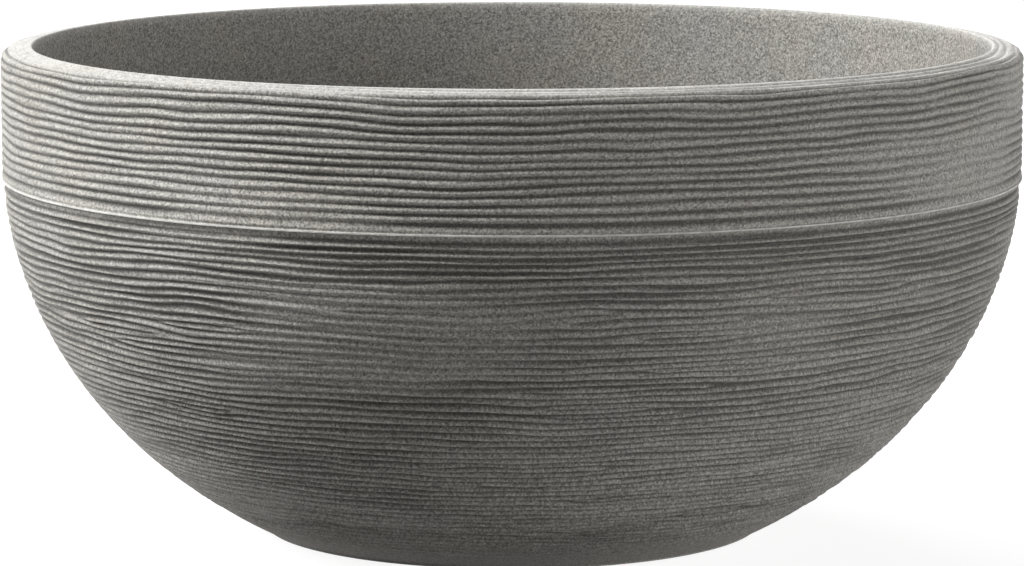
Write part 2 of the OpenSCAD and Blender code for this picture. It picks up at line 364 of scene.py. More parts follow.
def bowl_outline(shape, ridges):
    """The bowl's outline, and the length of its ridged face."""
    side, outline = Side(shape), Outline()
    wall, base, joint = shape.wall, shape.base_h, shape.joint_h
    # The ridges fade out over the base, and rows there are twice as far apart
    fade_from, fade_to = base + 22 * MM, base + 4.5 * MM
    fine_to = base + 32 * MM
    edge, foot_edge = 0.3 * MM, 1.5 * MM

    # The joint's edge and the plain band, then down the ridged side
    first_t = side.t_of(joint - edge)
    top_r, top_h, _ = side.at(first_t, ridges.band_in)
    outline.arc(top_r - edge, top_h, edge, 90, 0, 3)
    fine_t, fade_t = side.t_of(fine_to), side.t_of(fade_to)
    rows = side.walk(first_t, fine_t, ridges.row)[1:]
    fine_l = rows[-1][1]
    rows += [(t, fine_l + s) for t, s in side.walk(fine_t, fade_t, 2 * ridges.row)[1:]]
    for t, s in rows:
        fade = smooth((side.at(t)[1] - fade_to) / (fade_from - fade_to))
        inset = ridges.band_in * (1 - smooth(s / ridges.band_h))
        r, h, facing = side.at(t, inset)
        outline.add(r, h, s - ridges.band_h, fade, facing=facing)
    for t, _ in side.walk(fade_t, side.t_of(base + foot_edge), 1.5 * MM)[1:]:
        outline.add(*side.at(t)[:2])

    # The base's rounded edge, its flat ring and the raised middle
    foot_r = outline.points[-1][0]
    outline.add(foot_r - 0.6 * foot_edge, base + 0.25 * foot_edge, worn=0.6)
    outline.add(foot_r - 1.4 * foot_edge, base, worn=0.6)
    panel_foot = shape.panel_r + shape.panel_slope
    ring = shape.base_r - panel_foot
    for share in (0.92, 0.75, 0.5, 0.25, 0.0):
        outline.add(panel_foot + share * ring, base)
    panel_over = PANEL_UNDER + wall
    bend_h, bend_w = 1.2 * MM, 0.1 * shape.panel_slope
    outline.corners(
        (panel_foot - bend_w, base + bend_h),
        (shape.panel_r + bend_w, PANEL_UNDER - bend_h),
        (shape.panel_r, PANEL_UNDER), (0.6 * shape.panel_r, PANEL_UNDER),
        (shape.hole_r, PANEL_UNDER), (shape.hole_r, panel_over),
        (shape.panel_r + wall / 2, panel_over), (panel_foot + wall / 2, base + wall))

    # Back up inside the wall to the spigot and its snap bead
    spigot_foot, spigot_top = joint - 5 * MM, joint + 12 * MM
    spigot_r = shape.outer_r - wall - PLAY
    inner_from = side.t_of(base + wall, wall)
    inner_to = side.t_of(spigot_foot - THIN_T, wall)
    outline.follow(side, inner_from, inner_to, HIDDEN_ROW, wall)
    outline.corners((spigot_r - THIN_T, spigot_foot))
    outline.corners(*snap_bead(spigot_r, joint, spigot_r - THIN_T, spigot_top))
    outline.corners((spigot_r, joint))
    return outline, rows[-1][1] - ridges.band_h


def snap_bead(r, joint, top_r, top_h):
    """Corners of a snap bead on an upright wall, from the wall's top downwards."""
    middle, half, out = joint + 7 * MM, 1.5 * MM, 0.8 * MM
    return ((top_r, top_h), (r, top_h), (r, middle + half), (r + out, middle),
            (r, middle - half))


def collar_outline(shape, ridges):
    """The collar's outline, and the length of its ridged face."""
    outline = Outline()
    out_r, rim_h, joint = shape.outer_r, shape.rim_h, shape.joint_h
    corner, lip, lip_h = shape.corner_r, shape.lip_r, ridges.lip_h
    rim_r = out_r - shape.rim_w
    corner_h = rim_h - shape.rim_fall - corner

    # The joint's thin lip, whose upright edge is painted pale as a painted highlight for
    # the bright line that it catches, and back into the lowest bead. Its corners are in
    # shares of how far it stands out and of its height
    for r, h, worn in ((0.4, 0.0, 1.0), (0.0, 0.12, 1.0), (0.0, 0.7, 1.0),
                       (0.8, 0.95, 0.0)):
        outline.add(out_r - r * ridges.lip_out, joint + h * lip_h, worn=worn)

    # Up the ridged side, round the corner and in across the rim. On the rim the ridges
    # wear lower, and its top is painted paler, as wear and as painted light on the top.
    # Its inner edge is plain
    worn_lower, rim_wear_and_light, worn_over = 0.45, 0.38, 3 * MM
    plain_w, plain_ease = 1 * MM, 1.5 * MM
    upright = corner_h - joint - lip_h
    bend = corner * math.pi / 2
    top = out_r - corner - rim_r - lip
    total = upright + bend + top
    rows = round(total / ridges.row)
    for i in range(rows + 1):
        s = total * i / rows
        if s < upright:
            inset = ridges.lip_out * (1 - smooth(s / (1.5 * MM)))
            r, h, facing = out_r - inset, joint + lip_h + s, (1.0, 0.0)
        elif s < upright + bend:
            a = (s - upright) / corner
            facing = (math.cos(a), math.sin(a))
            r = out_r - corner + corner * facing[0]
            h = corner_h + corner * facing[1]
        else:
            u = s - upright - bend
            facing = (0.0, 1.0)
            r, h = out_r - corner - u, corner_h + corner + shape.rim_fall * u / top
        rubbed = 1 - smooth((upright + bend - s) / worn_over)
        ridged = (1 - worn_lower * rubbed) * smooth((total - plain_w - s) / plain_ease)
        outline.add(r, h, s - ridges.bead_h, ridged, rim_wear_and_light * rubbed, facing)
    outline.arc(rim_r + lip, rim_h - lip, lip, 105, 180, 5)

    # Under the rim, round the rib that holds the liner, and down the inside
    under = rim_h - RIM_T
    rib = rim_r + shape.liner_wall + PLAY
    skin_r = out_r - shape.wall
    outline.corners((rim_r, under + 1.5 * MM), (rim_r, under), (rib, under),
                    (rib, under - RIB_H), (rib + THIN_T, under - RIB_H),
                    (rib + THIN_T, under), (skin_r, under))
    outline.corners(*snap_bead(skin_r, joint, skin_r, under - RIB_H)[2:])
    outline.corners((skin_r, joint))
    return outline, total - ridges.bead_h


def liner_outline(shape):
    """The liner's outline."""
    side, outline = Side(shape), Outline()
    out_r, rim_w, skin = shape.outer_r, shape.rim_w, shape.liner_wall
    top, floor = shape.rim_h - RIM_T, BUSH_TOP + shape.sump_depth
    deep = rim_w - skin

    # Down the inside: an upright band, then the curve
    steps, start = 8, top - 1.5 * MM
    outline.corners((out_r - rim_w, top))
    for i in range(steps):
        outline.add(out_r - rim_w, start + (shape.curve_h - start) * i / steps)
    floor_t = side.t_of(floor, rim_w)
    # The curve stops a little short of the floor, where a small round takes over
    outline.follow(side, 0.0, floor_t - 0.03, 4 * MM, rim_w)

    # That round, then the dished sump and the recess that the bush's flange sits in
    r, h, _ = side.at(floor_t, rim_w)
    round_w = 4 * MM
    outline.corners((r - 0.5 * MM, h + 0.4 * MM), (r - round_w, floor))
    flat = r - round_w - shape.sump_r
    for share in (0.8, 0.6, 0.4, 0.2):
        outline.add(shape.sump_r + share * flat, floor)
    recess_r = BUSH_R + 0.5 * MM
    under = SEAL_UNDER - skin
    outline.corners(
        (shape.sump_r + 1.2 * MM, floor), (shape.sump_r + 0.4 * MM, floor - 0.3 * MM),
        (shape.sump_r, floor - 0.9 * MM), (shape.sump_r, BUSH_TOP), (recess_r, BUSH_TOP),
        (recess_r, SEAL_UNDER), (shape.hole_r, SEAL_UNDER), (shape.hole_r, under),
        (recess_r + skin, under), (recess_r + skin, BUSH_TOP - skin),
        (shape.sump_r + skin, BUSH_TOP - skin), (shape.sump_r + skin, floor - skin))

    # Up the outside to the lip under the collar's rib
    outline.follow(side, side.t_of(floor - skin, deep), 0.0, HIDDEN_ROW, deep)
    outer, lip_out = out_r - deep, 3 * MM
    lip_h = top - RIB_H - PLAY
    outline.corners((outer, lip_h - THIN_T), (outer + lip_out, lip_h - THIN_T),
                    (outer + lip_out, lip_h), (outer, lip_h), (outer, top))
    return outline


# The ridged skin's tree


def skin_tree():
    """Turn an outline about the axis and press wandering ridges into its outside."""
    tree = bpy.data.node_groups.new("Ridged skin", "GeometryNodeTree")
    kinds = {"Geometry": "Geometry", "Material": "Material", "Columns": "Int",
             "Forks": "Int", "Seed": "Int"}
    for name in ("Geometry", "Columns", "Radius", "Length", "Pitch", "Margin", "Depth",
                 "Wander", "Wander Length", "Wander Height", "Jitter", "Shallow", "Calm",
                 "Side", "Parting", "Narrow", "Fine", "Forks", "Seed", "Material"):
        tree.interface.new_socket(name, in_out="INPUT",
                                  socket_type="NodeSocket" + kinds.get(name, "Float"))
    tree.interface.new_socket("Geometry", in_out="OUTPUT", socket_type="NodeSocketGeometry")
    put = partial(add, tree)
    enter = put("NodeGroupInput", out=None).outputs
    outline, radius, seed = enter["Geometry"], enter["Radius"], enter["Seed"]

    # A sheet of points: a row for each point of the outline, and one row and one
    # column more, so that the sheet's edges meet
    points = put("GeometryNodeAttributeDomainSize", (outline,), "Point Count")
    rows = put(MATH, (points, 1.0), operation="ADD")
    across = put(MATH, (enter["Columns"], 1.0), operation="ADD")
    sheet = put("GeometryNodeMeshGrid", {"Vertices X": rows, "Vertices Y": across})
    index = put("GeometryNodeInputIndex")
    middle = put(MATH, (index, 0.5), operation="ADD")
    row = put(MATH, (middle, across), operation="DIVIDE")
    row = put(MATH, (row,), operation="FLOOR")
    before = put(MATH, (row, across), operation="MULTIPLY")
    column = put(MATH, (index, before), operation="SUBTRACT")
    row = put(MATH, (row, points), operation="MODULO")
    row = put(MATH, (row,), operation="ROUND")
    angle = put(MATH, (column, enter["Columns"]), operation="DIVIDE")
    angle = put(MATH, (angle, math.tau), operation="MULTIPLY")
    turned_x = put(MATH, (angle,), operation="COSINE")
    turned_y = put(MATH, (angle,), operation="SINE")
    # Takes a value, its length round the planter, its height, its detail and a shift
    uneven = partial(soft_noise, tree, enter, (turned_x, turned_y))

    # What the outline's point in this row carries
    carried = []
    for label in ("position", "facing", "along", "ridged", "worn"):
        kind = "FLOAT_VECTOR" if label in ("position", "facing") else "FLOAT"
        value = put("GeometryNodeInputNamedAttribute", {"Name": label}, data_type=kind)
        value = put("GeometryNodeSampleIndex",
                    {"Geometry": outline, "Value": value, "Index": row},
                    data_type=kind, domain="POINT")
        if kind == "FLOAT_VECTOR":
            parts = put("ShaderNodeSeparateXYZ", (value,), out=None).outputs
            x = put(MATH, (parts[0], turned_x), operation="MULTIPLY")
            y = put(MATH, (parts[0], turned_y), operation="MULTIPLY")
            value = put("ShaderNodeCombineXYZ", (x, y, parts[2]))
        carried.append(value)
    position, facing, along, ridged, worn = carried

    # Ridges wander together, each jitters a little by itself, and both settle
    # down towards the joint
    settle = put(RANGE, (along, 0.0, 14 * MM, 0.0, 1.0), **EASED)
    swing = uneven(along, enter["Wander Length"], enter["Wander Height"], 1.5, 17.3)
    swing = put(MATH, (swing, enter["Wander"]), operation="MULTIPLY")
    jitter = uneven(along, 30 * MM, 6 * MM, 0.5, 5.1)
    jitter = put(MATH, (jitter, enter["Jitter"]), operation="MULTIPLY")
    shift = put(MATH, (swing, jitter), operation="ADD")
    shift = put(MATH, (shift, settle), operation="MULTIPLY")

    # Forks: each lays one short extra ridge in, and its neighbours make room
    start = put("GeometryNodeRepeatInput", out=None)
    stop = put("GeometryNodeRepeatOutput", out=None)
    start.pair_with_output(stop)
    stop.repeat_items.clear()
    stop.repeat_items.new("FLOAT", "Phase")
    tree.links.new(enter["Forks"], start.inputs["Iterations"])
    # Drawn by lot: its place round the planter, its level and half its length
    drawn = []
    for low, high, shift_by in ((-math.pi, math.pi, 11.0), (0.06, 0.97, 23.0),
                                (12 * MM, 60 * MM, 37.0)):
        own_seed = put(MATH, (seed, shift_by), operation="ADD")
        drawn.append(put("FunctionNodeRandomValue",
                         {2: low, 3: high, 7: start.outputs["Iteration"], 8: own_seed},
                         out=1))
    centre, level, half = drawn
    around = put(MATH, (angle, centre), operation="SUBTRACT")
    around = put(MATH, (around, math.pi, -math.pi), operation="WRAP")
    around = put(MATH, (around, radius), operation="MULTIPLY")
    level = put(MATH, (level, enter["Length"]), operation="MULTIPLY")
    up = put(MATH, (along, level), operation="SUBTRACT")
    # It moves its neighbours less far up the face than along them
    up = put(MATH, (up, 3.5), operation="MULTIPLY")
    ends = []
    for sign in (1.0, -1.0):
        tip = put(MATH, (half, sign, around), operation="MULTIPLY_ADD")
        ends.append(put(MATH, (up, tip), operation="ARCTAN2"))
    bend = put(MATH, (ends[0], ends[1]), operation="SUBTRACT")
    bend = put(MATH, (bend, math.tau), operation="DIVIDE")
    # It is not felt further off round the planter than this
    far = put(MATH, (around,), operation="ABSOLUTE")
    near = put(RANGE, (far, 100 * MM, 300 * MM, 1.0, 0.0), **EASED)
    tree.links.new(put(MATH, (bend, near, start.outputs["Phase"]),
                       operation="MULTIPLY_ADD"), stop.inputs["Phase"])
    forked = put(MATH, (stop.outputs["Phase"], settle), operation="MULTIPLY")

    # Ridges counted along the face. Before the first groove the plain margin
    # eases into it, as half a ridge
    moved = put(MATH, (along, shift), operation="ADD")
    count = put(MATH, (moved, enter["Pitch"]), operation="DIVIDE")
    count = put(MATH, (count, forked), operation="ADD")
    eased = put(MATH, (along, enter["Margin"]), operation="DIVIDE")
    eased = put(MATH, (eased, 0.5), operation="MULTIPLY")
    inside = put(MATH, (along, 0.0), operation="GREATER_THAN")
    count = put(MIX, {0: inside, 2: eased, 3: count})

    # A rounded bead between narrow grooves, which are eased at the very bottom. Here
    # and there it is drawn to a narrow crest between wide grooves
    ease, power = 0.01, 0.42
    wave = put(MATH, (count, math.pi), operation="MULTIPLY")
    wave = put(MATH, (wave,), operation="SINE")
    wave = put(MATH, (wave, wave), operation="MULTIPLY")
    bead = put(MATH, (wave, ease), operation="ADD")
    bead = put(MATH, (bead, power), operation="POWER")
    wide = put(RANGE, (bead, ease ** power, (1 + ease) ** power, 1.0, 0.0))
    crest = put(MATH, (1 + ease, wave), operation="SUBTRACT")
    crest = put(MATH, (crest, 0.5), operation="POWER")
    thin = put(RANGE, (crest, ease ** 0.5, (1 + ease) ** 0.5, 0.0, 1.0))
    narrow = uneven(count, 90 * MM, 1.3, 0.5, 6.3)
    narrow = put(RANGE, (narrow, -0.08, 0.12, 0.0, enter["Narrow"]))
    dip = put(MIX, {0: narrow, 2: wide, 3: thin})

    # No two grooves are alike: each deepens and fades along its length, whole patches
    # are fainter, and some crests are lower than the rest
    deep = uneven(count, 70 * MM, 1.15, 1.0, 3.7)
    deep = put(RANGE, (deep, -0.2, 0.1, enter["Shallow"], 1.0))
    calm = uneven(along, 170 * MM, 70 * MM, 0.0, 2.9)
    calm = put(RANGE, (calm, -0.20, -0.04, enter["Calm"], 1.0), **EASED)
    deep = put(MATH, (deep, calm), operation="MULTIPLY")
    worn_low = uneven(count, 40 * MM, 1.0, 1.0, 9.9)
    worn_low = put(RANGE, (worn_low, 0.0, 0.2, 0.0, 0.16))
    worn_low = put(MATH, (worn_low, bead), operation="MULTIPLY")
    dip = put(MATH, (dip, deep, worn_low), operation="MULTIPLY_ADD")
    dip = put("ShaderNodeClamp", (dip, 0.0, 1.0))
    dip = put(MATH, (dip, ridged), operation="MULTIPLY")
    # The mould opens almost to the front and back, so its grooves are shallower at
    # the two sides, where its halves part
    aside = put(MATH, (angle, enter["Parting"]), operation="SUBTRACT")
    aside = put(MATH, (aside,), operation="COSINE")
    aside = put(MATH, (aside,), operation="ABSOLUTE")
    aside = put(RANGE, (aside, 0.90, 1.0, 1.0, enter["Side"]))
    depth = put(MATH, (dip, enter["Depth"]), operation="MULTIPLY")
    depth = put(MATH, (depth, aside), operation="MULTIPLY")

    # Here and there fine lines run along the beads
    fine = uneven(moved, 60 * MM, 1.5 * MM, 0.0, 7.9)
    fine = put(RANGE, (fine, 0.02, 0.22, 0.0, 1.0), **EASED)
    fine = put(MATH, (fine, ridged), operation="MULTIPLY")
    depth = put(MATH, (fine, enter["Fine"], depth), operation="MULTIPLY_ADD")

    pressed = put(VECTOR, {0: facing, "Scale": depth}, operation="SCALE")
    place = put(VECTOR, (position, pressed), operation="SUBTRACT")
    made = put("GeometryNodeSetPosition", {"Geometry": sheet, "Position": place})
    # The finish follows the grooves and the edges that are painted pale, as wear and as a
    # painted highlight, so the mesh keeps them
    for label, value in (("groove", dip), ("ridged", ridged), ("worn", worn)):
        made = put("GeometryNodeStoreNamedAttribute",
                   {"Geometry": made, "Name": label, "Value": value},
                   data_type="FLOAT", domain="POINT")
    # The sheet's edges meet, and are joined
    made = put("GeometryNodeMergeByDistance", {"Geometry": made, "Distance": 2e-6})
    made = put("GeometryNodeSetShadeSmooth", {"Geometry": made}, domain="FACE")
    # Corners of 32 degrees and more stay sharp, but not between ridges
    steep = put("GeometryNodeInputMeshEdgeAngle")
    steep = put(MATH, (steep, math.radians(32)), operation="GREATER_THAN")
    plain = put("GeometryNodeInputNamedAttribute", {"Name": "ridged"})
    plain = put(MATH, (plain, 0.02), operation="LESS_THAN")
    sharp = put(MATH, (steep, plain), operation="MULTIPLY")
    made = put("GeometryNodeSetShadeSmooth",
               {"Geometry": made, "Selection": sharp, "Shade Smooth": False},
               domain="EDGE")
    made = put("GeometryNodeRealizeInstances", {"Geometry": made})
    made = put("GeometryNodeSetMaterial", {"Geometry": made, "Material": enter["Material"]})
    put("NodeGroupOutput", {"Geometry": made}, out=None)
    return tree


def soft_noise(tree, enter, turned, value, length, height, detail, shift_by):
    """Noise from -0.5 to 0.5 that changes over a length round the planter and over a
    height of the given value. The shift sets it apart from the tree's other noises."""
    turns = add(tree, MATH, (enter["Radius"], length), operation="DIVIDE")
    x = add(tree, MATH, (turned[0], turns), operation="MULTIPLY")
    y = add(tree, MATH, (turned[1], turns), operation="MULTIPLY")
    own_seed = add(tree, MATH, (enter["Seed"], shift_by), operation="MULTIPLY")
    z = add(tree, MATH, (value, height), operation="DIVIDE")
    z = add(tree, MATH, (z, own_seed), operation="ADD")
    where = add(tree, "ShaderNodeCombineXYZ", (x, y, z))
    noise = add(tree, NOISE, {"Vector": where, "Scale": 1.0, "Detail": detail,
                              "Roughness": 0.5})
    return add(tree, MATH, (noise, 0.5), operation="SUBTRACT")


def ridge_inputs(shape, ridges, part, length, margin):
    """What the tree takes for the ridges of the collar or the bowl."""
    own = {label.capitalize(): getattr(ridges, f"{part}_{label}")
           for label in ("pitch", "depth", "wander", "jitter", "shallow", "narrow",
                         "fine", "forks")}
    return {**own, "Columns": shape.columns, "Radius": shape.outer_r, "Length": length,
            "Margin": margin, "Wander Length": ridges.wander_length,
            "Wander Height": ridges.wander_height, "Calm": ridges.calm,
            "Side": ridges.side, "Parting": ridges.parting, "Seed": ridges.seed}


def skin(name, outline, material, inputs):
    """Run the skin's tree on an outline and keep the result as a plain mesh."""
    tree = bpy.data.node_groups.get("Ridged skin") or skin_tree()
    made = outline.object(name)
    modifier = made.modifiers.new("Ridged skin", "NODES")
    modifier.node_group = tree
    keys = {item.name: item.identifier for item in tree.interface.items_tree
            if item.in_out == "INPUT"}
    for label, value in {**inputs, "Material": material}.items():
        modifier[keys[label]] = value
    depsgraph = bpy.context.evaluated_depsgraph_get()
    mesh = bpy.data.meshes.new_from_object(
        made.evaluated_get(depsgraph), preserve_all_data_layers=True, depsgraph=depsgraph)
    made.modifiers.clear()
    old, made.data = made.data, mesh
    bpy.data.meshes.remove(old)
    mesh.name = name
    if len(mesh.polygons) < 1000:
        raise RuntimeError(name + " came out empty")
    mesh.materials.clear()
    mesh.materials.append(material)
    return made


# Finishes


def new_material(name):
    """A material, and its tree with nothing in it."""
    material = bpy.data.materials.new(name)
    material.use_nodes = True
    material.node_tree.nodes.clear()
    return material, material.node_tree


def stone_plastic(name, finish, paler=1.0):
    """Rotomoulded polyethylene with ground pigment through it.

    The powder does not melt into one colour, so the wall keeps a grain of greys
    about half a millimetre across. Its skin is matte and finely pitted. The pits
    swallow half of its gloss and make it sandy where light rakes it."""
    material, tree = new_material(name)
    put = partial(add, tree)
    # Noise is turned, so that its cells do not line up with the planter's axes
    place = put("ShaderNodeTexCoord", out="Object")
    place = put("ShaderNodeVectorRotate",
                {"Vector": place, "Rotation": (0.6, 0.4, 0.8)}, rotation_type="EULER_XYZ")

    # Ground pigment is finer than a camera shows, so it is drawn twice as coarse
    cloud_size, grain_size = 1.1 * MM, 0.85 * MM
    grain = put(NOISE, {"Vector": place, "Scale": 1 / cloud_size, "Detail": 2.0})
    cells = put("ShaderNodeTexVoronoi", {"Vector": place, "Scale": 1 / grain_size},
                out=None).outputs
    pick = put("ShaderNodeSeparateColor", (cells["Color"],), out=None).outputs
    tone = put(RANGE, (grain, 0.36, 0.64, 0.0, 1.0))
    tone = put(MIX, {0: 0.45, 2: tone, 3: pick[2]})
    colour = put(MIX, {0: tone, 6: finish.grain_dark, 7: finish.grain_light}, **COLOURS)
    # About one grain in eight is a dark fleck, and as many are pale ones
    core = put(RANGE, (cells["Distance"], 0.3, 0.6, 1.0, 0.0))
    for chance, fleck in ((pick[0], finish.fleck_dark), (pick[1], finish.fleck_light)):
        chosen = put(RANGE, (chance, 0.84, 0.90, 0.0, 0.55))
        spot = put(MATH, (core, chosen), operation="MULTIPLY")
        colour = put(MIX, {0: spot, 6: colour, 7: fleck}, **COLOURS)

    # Each moulding's colour is scaled paler as painted light: the upright collar for the
    # stronger light on it than on the bowl, the liner for the light inside the bowl
    painted_light_lift = put("ShaderNodeCombineColor", (paler, paler, paler))
    colour = put(MIX, {0: 1.0, 6: colour, 7: painted_light_lift}, blend_type="MULTIPLY", **COLOURS)

    # Grains and clouds lean warm or cool
    for size, warm, cool in ((1.6 * MM, "#FFFBF8", "#F9FAF8"),
                             (45 * MM, "#FFFDFA", "#FAFBFB")):
        lean = put(NOISE, {"Vector": place, "Scale": 1 / size, "Detail": 1.0})
        lean = put(RANGE, (lean, 0.35, 0.65, 0.0, 1.0))
        tint = put(MIX, {0: lean, 6: linear(warm), 7: linear(cool)}, **COLOURS)
        colour = put(MIX, {0: 1.0, 6: colour, 7: tint}, blend_type="MULTIPLY", **COLOURS)

    # Dust lies in the grooves, where pale grains still show through it, and the same
    # darkening is painted shade in the grooves. Handling pales the edges and the crests,
    # and that paling is also a painted highlight on the crests, the joint's lip and the
    # rim's top
    groove, ridged, worn = [
        put("ShaderNodeAttribute", out="Fac", attribute_name=label)
        for label in ("groove", "ridged", "worn")]
    # Crests are painted paler, partly as wear and partly as a painted highlight on their
    # lit tops
    crest = put(RANGE, (groove, 0.0, 0.18, 0.15, 0.0))
    crest = put(MATH, (crest, ridged), operation="MULTIPLY")
    # The edges take the stored paling: wear, and on the joint's lip and the rim's top also
    # a painted highlight
    edge = put(MATH, (worn, 0.9), operation="MULTIPLY")
    rub_and_highlight = put(MATH, (crest, edge), operation="MAXIMUM")
    patchy = put(NOISE, {"Vector": place, "Scale": 1 / (6 * MM), "Detail": 2.0})
    patchy = put(RANGE, (patchy, 0.35, 0.60, 0.55, 1.0))
    rub_and_highlight = put(MATH, (rub_and_highlight, patchy), operation="MULTIPLY")
    # The grooves darken as they deepen. Dust settles there, and the darkening is also
    # painted shade
    groove_dust_and_shade = put(RANGE, (groove, 0.28, 0.80, 0.0, 1.0))
    covered = put(RANGE, (tone, 0.0, 1.0, 1.0, 0.70))
    groove_dust_and_shade = put(MATH, (groove_dust_and_shade, covered), operation="MULTIPLY")
    colour = put(MIX, {0: groove_dust_and_shade, 6: colour, 7: finish.dust_and_shade}, **COLOURS)
    colour = put(MIX, {0: rub_and_highlight, 6: colour, 7: finish.rubbed}, **COLOURS)

    rough = put(RANGE, (grain, 0.3, 0.7, 0.62, 0.76))
    rough = put(MATH, (rub_and_highlight, -0.2, rough), operation="MULTIPLY_ADD")
    bump = put("ShaderNodeBump", {"Height": grain, "Strength": 0.8, "Distance": 0.3 * MM})
    shader = put("ShaderNodeBsdfPrincipled",
                 {"Base Color": colour, "Roughness": rough, "Normal": bump, "IOR": 1.51,
                  "Specular IOR Level": 0.25})
    put("ShaderNodeOutputMaterial", (shader,), out=None)
    return material


def moulded(name, colour, size, rough, relief):
    """A part moulded in one colour in a textured mould.

    size and relief are the texture's own. Outer edges are rubbed paler and a
    little smoother than the faces between them."""
    material, tree = new_material(name)
    put = partial(add, tree)
    place = put("ShaderNodeTexCoord", out="Object")
    texture, patchy, cloud = [
        put(NOISE, {"Vector": place, "Scale": 1 / spacing, "Detail": 2.0})
        for spacing in (size, 4 * MM, 18 * MM)]
    pale = tuple(min(1.0, c * 1.4 + 0.006) for c in colour[:3]) + (1.0,)
    rubbed = tuple(min(1.0, c * 2.4 + 0.02) for c in colour[:3]) + (1.0,)

    # An edge is where a normal that is softened over half a millimetre turns away
    soft = put("ShaderNodeBevel", {"Radius": 0.5 * MM}, samples=4)
    plain = put("ShaderNodeNewGeometry", out="Normal")
    same = put(VECTOR, (soft, plain), out="Value", operation="DOT_PRODUCT")
    edge = put(RANGE, (same, 0.80, 0.97, 0.6, 0.0))
    patchy = put(RANGE, (patchy, 0.35, 0.65, 0.0, 1.0))
    edge = put(MATH, (edge, patchy), operation="MULTIPLY")
    base = put(MIX, {0: cloud, 6: tuple(colour), 7: pale}, **COLOURS)
    base = put(MIX, {0: edge, 6: base, 7: rubbed}, **COLOURS)
    even = put(RANGE, (texture, 0.3, 0.7, rough - 0.08, rough + 0.08))
    even = put(MATH, (edge, -0.2, even), operation="MULTIPLY_ADD")
    bump = put("ShaderNodeBump", {"Height": texture, "Strength": 0.6, "Distance": relief})
    shader = put("ShaderNodeBsdfPrincipled",
                 {"Base Color": base, "Roughness": even, "Normal": bump, "IOR": 1.50})
    put("ShaderNodeOutputMaterial", (shader,), out=None)
    return material


# Pieces


class PLANTER_OT_lower_bowl(bpy.types.Operator):
    """Make the ridged bowl below the joint, with its base"""

    bl_idname = "planter.lower_bowl"
    bl_label = "Lower bowl"

    def execute(self, context):
        shape, ridges = context.scene.planter_shape, context.scene.planter_ridges
        outline, length = bowl_outline(shape, ridges)
        stone = stone_plastic("Rotomoulded stone-effect plastic, bowl",
                              context.scene.planter_finish)
        inputs = ridge_inputs(shape, ridges, "bowl", length, ridges.band_h)
        made = skin("lower_bowl_skin", outline, stone, inputs)
        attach(made, "planter")
        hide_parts("lower_bowl")
        return {"FINISHED"}


class PLANTER_OT_upper_collar(bpy.types.Operator):
    """Make the ridged collar above the joint, with the top of the rim"""

    bl_idname = "planter.upper_collar"
    bl_label = "Upper collar"

    def execute(self, context):
        shape, ridges = context.scene.planter_shape, context.scene.planter_ridges
        outline, length = collar_outline(shape, ridges)
        finish = context.scene.planter_finish
        stone = stone_plastic("Rotomoulded stone-effect plastic, collar", finish,
                              finish.collar_painted_light)
        inputs = ridge_inputs(shape, ridges, "collar", length, ridges.bead_h)
        # Its ridges do not run on from the bowl's
        inputs["Seed"] += 31
        made = skin("upper_collar_skin", outline, stone, inputs)
        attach(made, "planter")
        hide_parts("upper_collar")
        return {"FINISHED"}


class PLANTER_OT_inner_liner(bpy.types.Operator):
    """Make the smooth planting bowl inside"""

    bl_idname = "planter.inner_liner"
    bl_label = "Inner liner"

    def execute(self, context):
        shape = context.scene.planter_shape
        finish = context.scene.planter_finish
        stone = stone_plastic("Rotomoulded stone-effect plastic, liner", finish,
                              finish.liner_painted_light)
        # No point of its outline takes a ridge, so the ridges' sizes stay at nought,
        # but for those that the tree divides by
        inputs = dict.fromkeys(("Pitch", "Margin", "Wander Length", "Wander Height"), 0.1)
        inputs.update({"Columns": shape.columns, "Radius": shape.outer_r})
        made = skin("inner_liner_skin", liner_outline(shape), stone, inputs)
        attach(made, "planter")
        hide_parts("inner_liner")
        return {"FINISHED"}


class PLANTER_OT_drain(bpy.types.Operator):
    """Give the drain's mouldings, its rubbers and the foot pads their finishes"""

    bl_idname = "planter.drain"
    bl_label = "Drain and foot pads"

    def execute(self, context):
        finish = context.scene.planter_finish
        # A spark-textured mould leaves polypropylene a soft, even sheen
        plastic = moulded("Injection-moulded polypropylene", finish.drain,
                          0.5 * MM, 0.46, 0.05 * MM)
        # Pressed rubber is duller, and its skin is coarser
        rubber = moulded("Compression-moulded rubber", finish.rubber,
                         0.8 * MM, 0.72, 0.08 * MM)
        pads = [f"foot_pad_{i}" for i in range(1, 5)]
        for node in ("drain_bush", "lock_ring", "drain_strainer"):
            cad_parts[node].material_slots[0].material = plastic
        for node in ("flange_seal", "drain_plug", *pads):
            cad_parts[node].material_slots[0].material = rubber
        return {"FINISHED"}


LAMPS = {
    # name: compass angle from behind the camera, height angle, size across, power
    "top_left": (-70, 58, 0.9, 50.0),
    "left": (-86, 34, 1.2, 86.0),
    "left_low": (-100, 12, 0.9, 18.0),
    "right": (75, 7, 0.9, 24.0),
    "right_front": (45, 7, 0.9, 18.0),
    "back": (180, 30, 0.9, 34.0),
}


